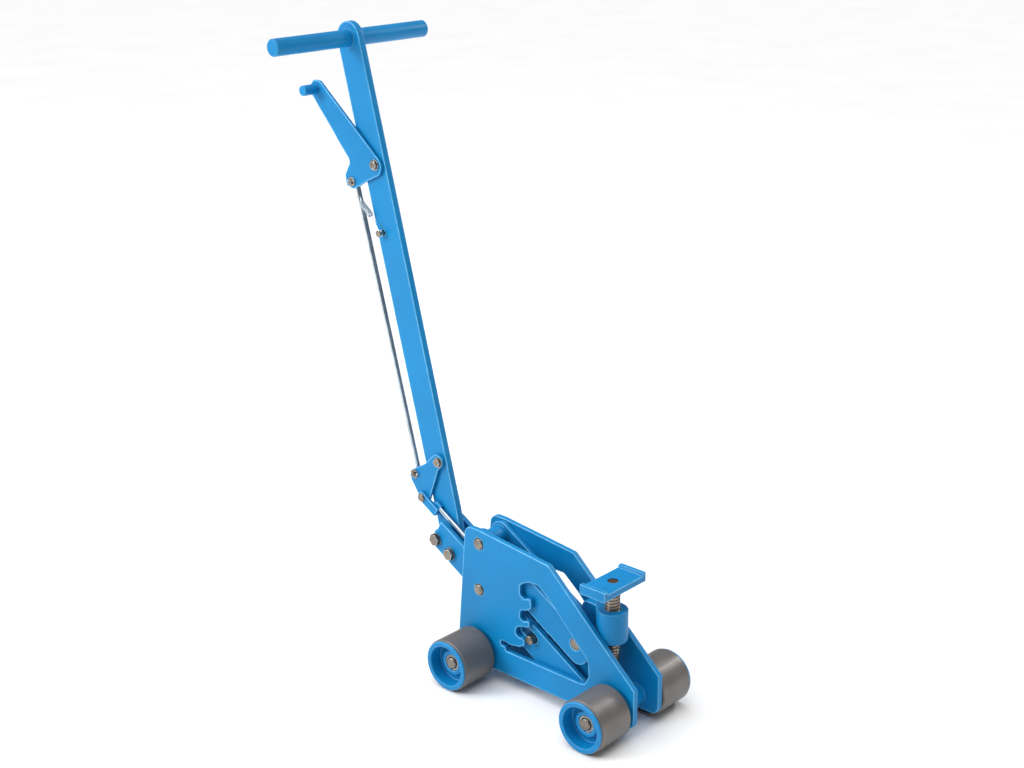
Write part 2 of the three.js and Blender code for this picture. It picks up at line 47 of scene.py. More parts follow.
# ------------------------------------------------------------------ camera
def camera():
    az, el, roll = 0.7417779, 0.3350972, -0.0059502
    back = Vector((math.sin(az) * math.cos(el), -math.cos(az) * math.cos(el), math.sin(el)))
    right = Vector((math.cos(az), math.sin(az), 0.0))
    up = back.cross(right)
    r = math.cos(roll) * right + math.sin(roll) * up
    u = -math.sin(roll) * right + math.cos(roll) * up
    m = Matrix((r, u, back)).transposed().to_4x4()
    m.translation = mm(1607.47, -1704.13, 1301.45)
    cam = bpy.data.cameras.new("camera")
    cam.sensor_width = 36.0
    cam.lens = 36.0 * 1615.075 / 1024.0
    cam.clip_end = 50
    ob = bpy.data.objects.new("camera", cam)
    ob.matrix_world = m
    bpy.context.scene.collection.objects.link(ob)
    bpy.context.scene.camera = ob


camera()

# ------------------------------------------------------------------ dimensions, mm
WR, WB = 42.5, 276.5
W0, W1 = 38.9, 110.0
AXR = 10.0
CPR = 9.4
PO, PT = 34.2, 8.6
PI_ = PO - PT
AO, AT = 24.7, 8.0
AI = AO - AT
P1, P2 = (4.0, 229.5), (4.0, 150.0)
AV = (191.0, -112.5)
A = (P1[0] + AV[0], P1[1] + AV[1])
B = (P2[0] + AV[0], P2[1] + AV[1])
AL = math.hypot(*AV)
AD = (AV[0] / AL, AV[1] / AL)
AN = (-AD[1], AD[0])
BAR_T = 11.6
LEAN = -0.2563
TB, TB_R, TB_H = (-288.5, 986.9), 13.3, 156.3
LVP, CRP = (-230.7, 797.3), (-104.8, 331.6)
LK = (-54.5, -34.0)
LPIN = (LVP[0] + LK[0], LVP[1] + LK[1])
CPIN = (CRP[0] + LK[0], CRP[1] + LK[1])
CLOW = (-138.7, 263.2)
PD = (0.8572, -0.5150)
PN = (0.5150, 0.8572)
PPT, PY, PR = (-78.0, 236.2), -11.3, 3.5
LOCK, LOCK_R, LTR = (110.0, 97.5), 7.5, 18.0
SLV = (247.5, 136.0, 187.0)
SLV_R = 24.2
SC_R, SC_Z0, PITCH = 11.8, 84.0, 5.0
SZ0, SZ1, LIPZ, SY, SXH = 221.8, 232.7, 237.2, 49.0, 24.0
BOLT1, BOLT2 = (-99.0, 203.5), (-68.0, 187.2)


# ------------------------------------------------------------------ materials
def rgb(r, g, b):
    return (r, g, b, 1.0)


def nodes_of(name):
    m = bpy.data.materials.new(name)
    m.use_nodes = True
    nt = m.node_tree
    nt.nodes.clear()
    out = nt.nodes.new("ShaderNodeOutputMaterial")
    bs = nt.nodes.new("ShaderNodeBsdfPrincipled")
    nt.links.new(bs.outputs[0], out.inputs[0])
    tc = nt.nodes.new("ShaderNodeTexCoord")
    return m, nt, bs, tc


def noise(nt, tc, scale, detail=4.0, stretch=None, rough=0.55):
    src = tc.outputs["Object"]
    if stretch:
        mp = nt.nodes.new("ShaderNodeMapping")
        mp.inputs["Scale"].default_value = stretch
        nt.links.new(src, mp.inputs[0])
        src = mp.outputs[0]
    n = nt.nodes.new("ShaderNodeTexNoise")
    n.inputs["Scale"].default_value = scale
    n.inputs["Detail"].default_value = detail
    n.inputs["Roughness"].default_value = rough
    nt.links.new(src, n.inputs["Vector"])
    return n.outputs["Fac"]


def ramp(nt, fac, stops):
    r = nt.nodes.new("ShaderNodeValToRGB")
    cr = r.color_ramp
    while len(cr.elements) < len(stops):
        cr.elements.new(0.5)
    for e, (p, c) in zip(cr.elements, stops):
        e.position = p
        e.color = c if len(c) == 4 else (c[0], c[1], c[2], 1)
    nt.links.new(fac, r.inputs[0])
    return r.outputs[0]


def mix(nt, fac, a, b):
    m = nt.nodes.new("ShaderNodeMix")
    m.data_type = "RGBA"
    if isinstance(fac, float):
        m.inputs[0].default_value = fac
    else:
        nt.links.new(fac, m.inputs[0])
    for s, v in ((6, a), (7, b)):
        if isinstance(v, tuple):
            m.inputs[s].default_value = v
        else:
            nt.links.new(v, m.inputs[s])
    return m.outputs[2]


def math_(nt, op, a, b=None):
    m = nt.nodes.new("ShaderNodeMath")
    m.operation = op
    for i, v in enumerate((a, b)):
        if v is None:
            continue
        if isinstance(v, (int, float)):
            m.inputs[i].default_value = v
        else:
            nt.links.new(v, m.inputs[i])
    return m.outputs[0]


def bevel_highlight_mask(nt, radius):
    bv = nt.nodes.new("ShaderNodeBevel")
    bv.samples = 6
    bv.inputs["Radius"].default_value = radius
    ge = nt.nodes.new("ShaderNodeNewGeometry")
    d = nt.nodes.new("ShaderNodeVectorMath")
    d.operation = "DOT_PRODUCT"
    nt.links.new(bv.outputs[0], d.inputs[0])
    nt.links.new(ge.outputs["Normal"], d.inputs[1])
    return math_(nt, "SUBTRACT", 1.0, d.outputs["Value"])


def bump(nt, bs, height, strength, dist=0.0005):
    b = nt.nodes.new("ShaderNodeBump")
    b.inputs["Strength"].default_value = strength
    b.inputs["Distance"].default_value = dist
    nt.links.new(height, b.inputs["Height"])
    nt.links.new(b.outputs[0], bs.inputs["Normal"])


def paint(name, base, edge, rough=(0.34, 0.5)):
    m, nt, bs, tc = nodes_of(name)
    big = noise(nt, tc, 9.0, 5.0)
    fine = noise(nt, tc, 140.0, 6.0)
    dark = tuple(c * 0.90 for c in base) + (1.0,)
    lite = tuple(min(1, c * 1.08) for c in base) + (1.0,)
    body = ramp(nt, big, [(0.32, dark), (0.52, rgb(*base)), (0.72, lite)])
    # faint grime from the fine noise
    grime = ramp(nt, fine, [(0.28, (1, 1, 1)), (0.36, (0, 0, 0))])
    body = mix(nt, math_(nt, "MULTIPLY", grime, 0.10), body, rgb(base[0] * 0.6, base[1] * 0.55, base[2] * 0.5))
    # lighter blue on the bevelled edges and in the creases, from the bevel mask broken up by noise: a painted edge
    # highlight
    e = bevel_highlight_mask(nt, 0.0026)
    brk = ramp(nt, noise(nt, tc, 60.0, 5.0), [(0.30, (0.45, 0.45, 0.45)), (0.62, (1, 1, 1))])
    highlight_mask = math_(nt, "MULTIPLY", ramp(nt, e, [(0.010, (0, 0, 0)), (0.06, (1, 1, 1))]), brk)
    col = mix(nt, math_(nt, "MULTIPLY", highlight_mask, 0.85), body, rgb(*edge))
    nt.links.new(col, bs.inputs["Base Color"])
    rr = ramp(nt, big, [(0.3, (rough[0],) * 3), (0.7, (rough[1],) * 3)])
    nt.links.new(rr, bs.inputs["Roughness"])
    bs.inputs["Specular IOR Level"].default_value = 0.24
    h = math_(nt, "ADD", math_(nt, "MULTIPLY", fine, 0.5), math_(nt, "MULTIPLY", noise(nt, tc, 700.0, 2.0), 0.5))
    bump(nt, bs, h, 0.10, 0.0004)
    return m


def metal(name, base, dark, rough=(0.22, 0.42), streak=None, metallic=0.92, edge=(0.92, 0.90, 0.87)):
    m, nt, bs, tc = nodes_of(name)
    n1 = noise(nt, tc, 45.0, 6.0)
    n2 = noise(nt, tc, 260.0, 3.0, streak or (1, 6, 1))
    col = ramp(nt, n1, [(0.3, rgb(*dark)), (0.6, rgb(*base))])
    # lighter colour on the bevelled rims, from the bevel mask: a painted highlight on the metal edges
    e = bevel_highlight_mask(nt, 0.0013)
    highlight_mask = ramp(nt, e, [(0.02, (0, 0, 0)), (0.12, (1, 1, 1))])
    col = mix(nt, math_(nt, "MULTIPLY", highlight_mask, 0.75), col, rgb(*edge))
    nt.links.new(col, bs.inputs["Base Color"])
    bs.inputs["Metallic"].default_value = metallic
    rr = ramp(nt, n2, [(0.3, (rough[0],) * 3), (0.7, (rough[1],) * 3)])
    nt.links.new(rr, bs.inputs["Roughness"])
    bump(nt, bs, n2, 0.12, 0.0002)
    return m


def tread_mat():
    m, nt, bs, tc = nodes_of("tread_grey")
    n1 = noise(nt, tc, 30.0, 6.0)
    n2 = noise(nt, tc, 120.0, 6.0, (1, 0.12, 1))
    col = ramp(nt, n1, [(0.25, rgb(0.150, 0.140, 0.134)), (0.5, rgb(0.170, 0.158, 0.150)), (0.75, rgb(0.192, 0.178, 0.168))])
    scuff = ramp(nt, n2, [(0.62, (0, 0, 0)), (0.72, (1, 1, 1))])
    col = mix(nt, math_(nt, "MULTIPLY", scuff, 0.18), col, rgb(0.27, 0.25, 0.235))
    nt.links.new(col, bs.inputs["Base Color"])
    rr = ramp(nt, n2, [(0.3, (0.36,) * 3), (0.75, (0.52,) * 3)])
    nt.links.new(rr, bs.inputs["Roughness"])
    bs.inputs["Metallic"].default_value = 0.35
    bump(nt, bs, n2, 0.14, 0.0003)
    return m


BLUE = (0.002, 0.212, 0.500)
# the edge colours given below (second argument of paint, edge= of metal) are painted edge highlights
MAT = {
    "blue": paint("blue_plate_paint", BLUE, (0.22, 0.62, 0.95)),
    "bar": paint("blue_bar_paint", (0.002, 0.218, 0.508), (0.22, 0.62, 0.95)),
    "hub": paint("blue_hub_paint", (0.002, 0.200, 0.475), (0.22, 0.60, 0.92), (0.28, 0.42)),
    # a darker copy of the blue plate paint for the lock slider between the arm cheeks: painted shade
    "shaded_blue": paint("blue_paint_painted_shade", (0.002, 0.13, 0.33), (0.06, 0.30, 0.56), (0.45, 0.6)),
    "steel": metal("bare_turned_steel", (0.27, 0.238, 0.20), (0.15, 0.13, 0.11), (0.22, 0.38)),
    "peen": metal("oiled_screw_end", (0.15, 0.115, 0.085), (0.075, 0.058, 0.045), (0.36, 0.5), edge=(0.25, 0.2, 0.16)),
    "screw": metal("oiled_thread_steel", (0.36, 0.30, 0.235), (0.15, 0.12, 0.09), (0.28, 0.46), (1, 1, 5), edge=(0.55, 0.5, 0.43)),
    "rod": metal("bright_drawn_rod", (0.50, 0.58, 0.64), (0.34, 0.41, 0.47), (0.12, 0.26), (3, 3, 0.4)),
    "weld": paint("blue_weld_paint", (0.002, 0.195, 0.465), (0.10, 0.42, 0.72), (0.4, 0.55)),
    "tread": tread_mat(),
}


# ------------------------------------------------------------------ mesh helpers
def finish_mesh(name, verts, faces, flat, mat, body, replaces=(), sharp=34.0):
    me = bpy.data.meshes.new(name)
    me.from_pydata([tuple(v) for v in verts], [], faces)
    me.validate()
    for i, p in enumerate(me.polygons):
        p.use_smooth = i not in flat if flat is not None else True
    me.set_sharp_from_angle(angle=math.radians(sharp))
    me.materials.append(MAT[mat])
    ob = bpy.data.objects.new(name, me)
    bpy.context.scene.collection.objects.link(ob)
    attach(ob, body)
    if replaces:
        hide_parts(*replaces)
    return ob


def rounded(pts, seg=8):
    out, n = [], len(pts)
    for i, p in enumerate(pts):
        r = p[2] if len(p) > 2 else 0
        if not r:
            out.append((p[0], p[1]))
            continue
        a, b = pts[i - 1], pts[(i + 1) % n]
        va, vb = (a[0] - p[0], a[1] - p[1]), (b[0] - p[0], b[1] - p[1])
        la, lb = math.hypot(*va), math.hypot(*vb)
        ua, ub = (va[0] / la, va[1] / la), (vb[0] / lb, vb[1] / lb)
        ang = math.acos(max(-1, min(1, ua[0] * ub[0] + ua[1] * ub[1])))
        d = min(r / math.tan(ang / 2), la * 0.49, lb * 0.49)
        rr = d * math.tan(ang / 2)
        bx, bz = ua[0] + ub[0], ua[1] + ub[1]
        lbis = math.hypot(bx, bz)
        c = (p[0] + bx / lbis * rr / math.sin(ang / 2), p[1] + bz / lbis * rr / math.sin(ang / 2))
        s, e = (p[0] + ua[0] * d, p[1] + ua[1] * d), (p[0] + ub[0] * d, p[1] + ub[1] * d)
        a0, a1 = math.atan2(s[1] - c[1], s[0] - c[0]), math.atan2(e[1] - c[1], e[0] - c[0])
        da = (a1 - a0 + math.pi) % (2 * math.pi) - math.pi
        k = max(2, int(seg * min(1.0, 0.35 + abs(da) / 2)))
        for j in range(k + 1):
            out.append((c[0] + rr * math.cos(a0 + da * j / k), c[1] + rr * math.sin(a0 + da * j / k)))
    res = []
    for q in out:
        if not res or math.hypot(q[0] - res[-1][0], q[1] - res[-1][1]) > 0.02:
            res.append(q)
    if math.hypot(res[0][0] - res[-1][0], res[0][1] - res[-1][1]) < 0.02:
        res.pop()
    return res


def circle(c, r, n=40):
    return [(c[0] + r * math.cos(2 * math.pi * i / n), c[1] + r * math.sin(2 * math.pi * i / n)) for i in range(n)]


def slot_loop(a, b, r, n=14):
    t = math.atan2(b[1] - a[1], b[0] - a[0])
    o = [(b[0] + r * math.cos(t - math.pi / 2 + math.pi * i / n), b[1] + r * math.sin(t - math.pi / 2 + math.pi * i / n)) for i in range(n + 1)]
    o += [(a[0] + r * math.cos(t + math.pi / 2 + math.pi * i / n), a[1] + r * math.sin(t + math.pi / 2 + math.pi * i / n)) for i in range(n + 1)]
    return o


def area(p):
    return 0.5 * sum(p[i - 1][0] * p[i][1] - p[i][0] * p[i - 1][1] for i in range(len(p)))


def inset(loop, d):
    """move every point to the left of the direction of travel by d"""
    n, out = len(loop), []
    for i in range(n):
        p, a, b = loop[i], loop[i - 1], loop[(i + 1) % n]
        ta, tb = (p[0] - a[0], p[1] - a[1]), (b[0] - p[0], b[1] - p[1])
        la, lb = math.hypot(*ta) or 1e-9, math.hypot(*tb) or 1e-9
        na, nb = (-ta[1] / la, ta[0] / la), (-tb[1] / lb, tb[0] / lb)
        m = (na[0] + nb[0], na[1] + nb[1])
        k = max(0.35, (1 + na[0] * nb[0] + na[1] * nb[1]))
        out.append((p[0] + m[0] * d / k, p[1] + m[1] * d / k))
    return out


def plate(name, outline, holes, y0, y1, mat, body, replaces=(), bev=1.0, steps=3, to=None):
    """bevelled plate from an x,z outline with holes, between two y values"""
    to = to or (lambda x, z, y: mm(x, y, z))
    loops = [outline if area(outline) > 0 else outline[::-1]]
    loops += [h[::-1] if area(h) > 0 else h for h in holes]
    lv = []
    for j in range(steps + 1):
        t = math.pi / 2 * j / steps
        lv.append((bev * (1 - math.sin(t)), y0 + bev * (1 - math.cos(t))))
    lv += [(i_, y1 - (y - y0)) for i_, y in reversed(lv)]
    verts, faces, flat = [], [], set()
    start = []
    for lp in loops:
        rows = []
        for ins, y in lv:
            q = inset(lp, ins)
            rows.append((len(verts), q))
            verts += [to(x, z, y) for x, z in q]
        start.append(rows)
        n = len(lp)
        for j in range(len(lv) - 1):
            a, b = rows[j][0], rows[j + 1][0]
            for i in range(n):
                k = (i + 1) % n
                faces.append((a + i, a + k, b + k, b + i))
    for end, flip in ((0, False), (-1, True)):
        polys = [[Vector((x, z, 0)) for x, z in rows[end][1]] for rows in start]
        idx = []
        for rows in start:
            idx += list(range(rows[end][0], rows[end][0] + len(rows[end][1])))
        for t in tessellate_polygon(polys):
            f = [idx[i] for i in t]
            pa, pb, pc = (polys_flat(polys, i) for i in t)
            ccw = (pb[0] - pa[0]) * (pc[1] - pa[1]) - (pb[1] - pa[1]) * (pc[0] - pa[0]) > 0
            # the y0 cap faces -y: counter-clockwise in x,z seen from -y
            if ccw == flip:
                f.reverse()
            flat.add(len(faces))
            faces.append(tuple(f))
    return finish_mesh(name, verts, faces, flat, mat, body, replaces)


def polys_flat(polys, i):
    for p in polys:
        if i < len(p):
            return p[i]
        i -= len(p)


def lathe(name, prof, c, mat, body, replaces=(), seg=72, axis="Y", sharp=28.0):
    """revolve a closed or axis-to-axis profile of (radius, position) about a Y or Z axis"""
    verts, faces, rings = [], [], []
    for r, y in prof:
        if r < 1e-6:
            rings.append([len(verts)])
            verts.append(mm(c[0], y, c[1]) if axis == "Y" else mm(c[0], c[1], y))
        else:
            rings.append(list(range(len(verts), len(verts) + seg)))
            for i in range(seg):
                a = 2 * math.pi * i / seg
                if axis == "Y":
                    verts.append(mm(c[0] + r * math.cos(a), y, c[1] + r * math.sin(a)))
                else:
                    verts.append(mm(c[0] + r * math.cos(a), c[1] + r * math.sin(a), y))
    pairs = list(zip(rings, rings[1:]))
    if prof[0][0] > 1e-6:
        pairs.append((rings[-1], rings[0]))
    for a, b in pairs:
        for i in range(seg):
            k = (i + 1) % seg
            if len(a) == 1 and len(b) == 1:
                continue
            if len(a) == 1:
                faces.append((a[0], b[i], b[k]))
            elif len(b) == 1:
                faces.append((a[i], b[0], a[k]))
            else:
                faces.append((a[i], b[i], b[k], a[k]))
    # face outwards
    vol = 0.0
    for f in faces:
        p = [verts[i] for i in f]
        for j in range(1, len(p) - 1):
            vol += p[0].dot(p[j].cross(p[j + 1]))
    if vol < 0:
        faces = [f[::-1] for f in faces]
    return finish_mesh(name, verts, faces, set(), mat, body, replaces, sharp)


def soft(prof, r=0.8, seg=4):
    """round every corner of an open profile by r"""
    n = len(prof)
    pts = [(p[0], p[1]) for p in prof]
    out = [pts[0]]
    for i in range(1, n - 1):
        p, a, b = pts[i], pts[i - 1], pts[i + 1]
        va, vb = (a[0] - p[0], a[1] - p[1]), (b[0] - p[0], b[1] - p[1])
        la, lb = math.hypot(*va), math.hypot(*vb)
        d = min(r, la * 0.45, lb * 0.45)
        s = (p[0] + va[0] / la * d, p[1] + va[1] / la * d)
        e = (p[0] + vb[0] / lb * d, p[1] + vb[1] / lb * d)
        for j in range(seg + 1):
            t = j / seg
            out.append(((1 - t) ** 2 * s[0] + 2 * t * (1 - t) * p[0] + t * t * e[0], (1 - t) ** 2 * s[1] + 2 * t * (1 - t) * p[1] + t * t * e[1]))
    out.append(pts[-1])
    return out


def pin(name, c, r, y0, y1, body, replaces=(), ch=1.2, mat="steel", dome=0.0, seg=56):
    prof = [(0, y0 - dome), (r * 0.55, y0 - dome * 0.7), (r - ch, y0), (r, y0 + ch), (r, y1 - ch), (r - ch, y1), (r * 0.55, y1 + dome * 0.7), (0, y1 + dome)]
    if dome == 0.0:
        prof = [(0, y0), (r - ch, y0), (r, y0 + ch), (r, y1 - ch), (r - ch, y1), (0, y1)]
    return lathe(name, soft(prof, 0.4, 2), c, mat, body, replaces, seg)


def hexhead(name, c, r, y0, y1, body, turn):
    """hexagonal bolt head with a chamfered face"""
    plate(name, [(c[0] + r * math.cos(i * math.pi / 3 + turn), c[1] + r * math.sin(i * math.pi / 3 + turn)) for i in range(6)], [], y0, y1, "steel", body, (), bev=1.0)


def sweep(name, pts, r, mat, body, replaces=(), seg=12, closed=False):
    """round wire along points, all mm already turned into metres"""
    P = [Vector(p) for p in pts]
    n = len(P)
    T = [(P[min(i + 1, n - 1)] - P[max(i - 1, 0)]).normalized() for i in range(n)]
    if closed:
        T = [(P[(i + 1) % n] - P[i - 1]).normalized() for i in range(n)]
    u = T[0].orthogonal().normalized()
    verts, faces = [], []
    for i in range(n):
        u = (u - T[i] * u.dot(T[i])).normalized()
        w = T[i].cross(u)
        for k in range(seg):
            a = 2 * math.pi * k / seg
            verts.append(P[i] + (u * math.cos(a) + w * math.sin(a)) * r * 0.001)
    for i in range(n if closed else n - 1):
        j = (i + 1) % n
        for k in range(seg):
            l = (k + 1) % seg
            faces.append((i * seg + k, i * seg + l, j * seg + l, j * seg + k))
    if not closed:
        for i, s in ((0, -1), (n - 1, 1)):
            m = len(verts)
            verts.append(P[i] + T[i] * s * r * 0.0005)
            for k in range(seg):
                l = (k + 1) % seg
                faces.append((m, i * seg + l, i * seg + k) if s < 0 else (m, i * seg + k, i * seg + l))
    return finish_mesh(name, verts, faces, set(), mat, body, replaces, 60)


def weld(name, c, r, y, body, lean=1, size=1.9, arc=(0, 2 * math.pi), axis="Y"):
    """painted weld bead round a tube where it meets a plate"""
    rnd = random.Random(sum(map(ord, name)))
    n = 120
    full = arc[1] - arc[0] > 6.2
    verts, faces, seg = [], [], 8
    cnt = n if full else n + 1
    for i in range(cnt):
        a = arc[0] + (arc[1] - arc[0]) * i / n
        rip = size * (0.92 + 0.13 * math.sin(i * 2.1) + 0.05 * rnd.random())
        for k in range(seg):
            b = 2 * math.pi * k / seg
            rr, yy = r + rip * math.cos(b) * 0.9, y + lean * rip * math.sin(b) * 0.9
            verts.append(mm(c[0] + rr * math.cos(a), yy, c[1] + rr * math.sin(a)) if axis == "Y" else mm(c[0] + rr * math.cos(a), c[1] + rr * math.sin(a), yy))
    for i in range(cnt if full else cnt - 1):
        j = (i + 1) % cnt
        for k in range(seg):
            l = (k + 1) % seg
            faces.append((i * seg + k, i * seg + l, j * seg + l, j * seg + k))
    if not full:
        faces.append(tuple(range(seg))[::-1])
        faces.append(tuple((cnt - 1) * seg + k for k in range(seg)))
    return finish_mesh(name, verts, faces, set(), "weld", body, (), 70)


def seam(name, p, q, size, body):
    """straight painted weld bead between two x,y,z points in mm"""
    rnd = random.Random(sum(map(ord, name)))
    a, b = Vector(p), Vector(q)
    n = max(8, int((b - a).length / 1.1))
    d = (b - a).normalized()
    u = d.orthogonal().normalized()
    w = d.cross(u)
    verts, faces, seg = [], [], 8
    for i in range(n + 1):
        e = min(1.0, 0.45 + min(i, n - i) * 0.25)
        rr = size * e * (0.93 + 0.12 * math.sin(i * 2.0) + 0.05 * rnd.random())
        c = a.lerp(b, i / n)
        for k in range(seg):
            t = 2 * math.pi * k / seg
            v = c + (u * math.cos(t) + w * math.sin(t)) * rr
            verts.append(mm(v.x, v.y, v.z))
    for i in range(n):
        for k in range(seg):
            l = (k + 1) % seg
            faces.append((i * seg + k, i * seg + l, (i + 1) * seg + l, (i + 1) * seg + k))
    faces.append(tuple(range(seg))[::-1])
    faces.append(tuple(n * seg + k for k in range(seg)))
    return finish_mesh(name, verts, faces, set(), "weld", body, (), 70)


def on_arm(p, s, t):
    return (p[0] + AD[0] * s + AN[0] * t, p[1] + AD[1] * s + AN[1] * t)


# ------------------------------------------------------------------ frame
PLATE = rounded([(-25.6, 253.6, 19), (3, 253.3, 30), (149, 238, 8), (318.6, 86.2, 3), (318.6, 20, 14), (-46.5, 20, 14)], 14)
GATE = rounded([
    (113, 197.6, 4), (129, 197.8, 9), (157, 175.5, 30), (229, 104, 16), (230.4, 78, 9), (222, 62.4, 9),
    (206, 61.2, 3), (66, 61.2, 2), (61, 60.8, 4), (58.5, 67.5, 2.5), (49.5, 68.6, 3), (49.2, 77.2, 4.2), (60, 76.8, 2),
    (70, 75.2, 2), (90, 78.8, 3), (99.6, 84.5, 4), (100.2, 92.2, 3.4), (94.8, 95.6, 2.2),
    (88.5, 94.6, 5), (80.8, 99.2, 6.5), (82.6, 110.6, 6.5), (92.5, 115.6, 2.5), (104, 117.2, 2), (110, 120, 3.4), (110.2, 128.4, 3.6), (105, 129.2, 2),
    (97.2, 125.6, 4.5), (90.2, 129.8, 6), (91.6, 143.4, 6.5), (106, 147.4, 3), (114.2, 153.4, 5), (113.2, 167.4, 4.4), (108.2, 168.4, 2),
    (100.2, 165.2, 4.5), (91, 168.6, 6.5), (90.8, 186.5, 8), (101, 193.2, 5),
], 12)
for side, s in (("right", -1), ("left", 1)):
    y0, y1 = (-PO, -PI_) if s < 0 else (PI_, PO)
    plate("side_plate_%s_fine" % side, PLATE, [GATE, circle(P1, 9.7), circle(P2, 9.7), circle((0, WR), 10.2), circle((WB, WR), 10.2)],
          y0, y1, "blue", "frame", ("side_plate_" + side,), bev=1.0)
for end, x in (("rear", 0.0), ("front", WB)):
    c = (x, WR)
    ye = W1 - 12.5
    pr = [(0, -ye), (AXR - 1.6, -ye), (AXR, -ye + 1.8), (AXR, ye - 1.8), (AXR - 1.6, ye), (0, ye)]
    lathe(end + "_axle_fine", soft(pr, 0.5, 2), c, "steel", "frame", (end + "_axle",), 64)
    lathe(end + "_axle_spacer_fine", soft([(10.3, -25.3), (17, -25.3), (17, 25.3), (10.3, 25.3)], 0.6, 3), c, "blue", "frame", (end + "_axle_spacer",), 64)
    weld(end + "_spacer_weld_right", c, 17.6, -24.4, "frame", size=1.6)
    weld(end + "_spacer_weld_left", c, 17.6, 24.4, "frame", size=1.6)
pin("upper_pivot_pin_fine", P1, 9.5, -PO - 2.6, PO + 2.6, "frame", ("upper_pivot_pin",), 1.2)
pin("lower_pivot_pin_fine", P2, 9.5, -PO - 2.6, PO + 2.6, "frame", ("lower_pivot_pin",), 1.2)

# ------------------------------------------------------------------ rollers
for end, x in (("rear", 0.0), ("front", WB)):
    for side, s in (("right", -1), ("left", 1)):
        c = (x, WR)
        w = "%s_%s" % (end, side)
        rim = WR - 0.6
        hub = soft([
            (10.3, W0), (20, W0), (20, W0 + 4), (37.0, W0 + 4), (37.0, W1 - 3.4), (rim - 1.2, W1 - 3.4), (rim - 1.2, W1 - 1.0), (rim - 2.4, W1),
            (33.6, W1), (32.6, W1 - 1.0), (31.8, W1 - 22), (21.2, W1 - 22), (20.4, W1 - 15.8), (19.4, W1 - 15), (14.6, W1 - 15), (14, W1 - 15.6), (14, W1 - 18), (10.3, W1 - 18),
        ], 0.7, 3)
        lathe(w + "_hub_fine", [(r, s * y) for r, y in hub], c, "hub", w + "_roller", (w + "_hub",), 96)
        tr = [(37.6, W0 + 1)] + [(WR - 2, W0 + 1), (WR, W0 + 3), (WR, W0 + 9)]
        tr += [(WR, W1 - 11), (WR, W1 - 5.2), (WR - 1.2, W1 - 4.0), (37.6, W1 - 4.0)]
        lathe(w + "_tread_fine", [(r, s * y) for r, y in soft(tr, 0.9, 4)], c, "tread", w + "_roller", (w + "_tread",), 112)
        # open snap ring on the axle end
        ya, yb = (-W1 + 15.7, -W1 + 17.5) if s < 0 else (W1 - 17.5, W1 - 15.7)
        n = 40
        g0, g1 = math.radians(-97 + 12), math.radians(-97 + 348)
        outer = [(c[0] + 13.0 * math.cos(g0 + (g1 - g0) * i / n), c[1] + 13.0 * math.sin(g0 + (g1 - g0) * i / n)) for i in range(n + 1)]
        inner = [(c[0] + 10.4 * math.cos(g0 + (g1 - g0) * i / n), c[1] + 10.4 * math.sin(g0 + (g1 - g0) * i / n)) for i in range(n + 1)]
        plate(w + "_retaining_ring_fine", outer + inner[::-1], [], ya, yb, "steel", "frame", (w + "_retaining_ring",), bev=0.25, steps=2)

# ------------------------------------------------------------------ lower arm and handle
back = (LOCK[0] - PD[0] * LTR, LOCK[1] - PD[1] * LTR)
SLOT_A = (LOCK[0] + PD[0] * 0.8, LOCK[1] + PD[1] * 0.8)
SLOT_B = (back[0] - PD[0] * 0.8, back[1] - PD[1] * 0.8)
LOW = rounded([(-113.4, 193.2, 3), (-88.6, 237.2, 3), (*on_arm(P2, 236, 29.2), 16), (*on_arm(P2, 243, -4), 16), (*on_arm(P2, 226, -21), 12), (*on_arm(P2, -110, -21), 30)], 12)
for side, s in (("right", -1), ("left", 1)):
    y0, y1 = (-AO, -AI) if s < 0 else (AI, AO)
    plate("lower_arm_cheek_%s_fine" % side, LOW, [circle(P2, 9.8), circle(BOLT1, 8.3, 32), circle(BOLT2, 8.3, 32), circle(B, CPR + 0.3, 40), slot_loop(SLOT_A, SLOT_B, LOCK_R + 0.7)],
          y0, y1, "blue", "lower_arm", ("lower_arm_cheek_" + side,), bev=0.9)
    py0, py1 = (-AI + 0.3, -BAR_T / 2 - 0.3) if s < 0 else (BAR_T / 2 + 0.3, AI - 0.3)
    plate("handle_packer_%s_fine" % side, slot_loop(BOLT1, BOLT2, 15, 20), [circle(BOLT1, 8.3, 32), circle(BOLT2, 8.3, 32)], py0, py1, "blue", "lower_arm", ("handle_packer_" + side,), bev=0.7)
lathe("lower_pivot_tube_fine", soft([(9.8, -16.4), (15.5, -16.4), (15.5, 16.4), (9.8, 16.4)], 0.6, 3), P2, "blue", "lower_arm", ("lower_pivot_tube",), 56)
BD = (math.sin(LEAN), math.cos(LEAN))
BN = (BD[1], -BD[0])


def on_bar(s, t):
    return (TB[0] - BD[0] * s + BN[0] * t, TB[1] - BD[1] * s + BN[1] * t)


top = [(TB[0] + BN[0] * 25 * math.cos(math.pi * i / 36) + BD[0] * 26 * math.sin(math.pi * i / 36), TB[1] + BN[1] * 25 * math.cos(math.pi * i / 36) + BD[1] * 26 * math.sin(math.pi * i / 36)) for i in range(37)]
BAR = top + [on_bar(798, -25), (-104.5, 190.4), (-98, 186), (-62, 168.6), (-54, 170), on_bar(760, 25)]
plate("handle_bar_fine", BAR, [circle(TB, TB_R + 0.3, 56), circle(BOLT1, 8.3, 32), circle(BOLT2, 8.3, 32), circle(LVP, 5.3, 28), circle(CRP, 5.3, 28), circle((-223, 689), 4.3, 24)],
      -BAR_T / 2, BAR_T / 2, "bar", "lower_arm", ("handle_bar",), bev=1.1)
lathe("t_bar_fine", soft([(0, -TB_H), (TB_R - 1.2, -TB_H), (TB_R, -TB_H + 1.2), (TB_R, TB_H - 1.2), (TB_R - 1.2, TB_H), (0, TB_H)], 0.5, 3), TB, "bar", "lower_arm", ("t_bar",), 72)
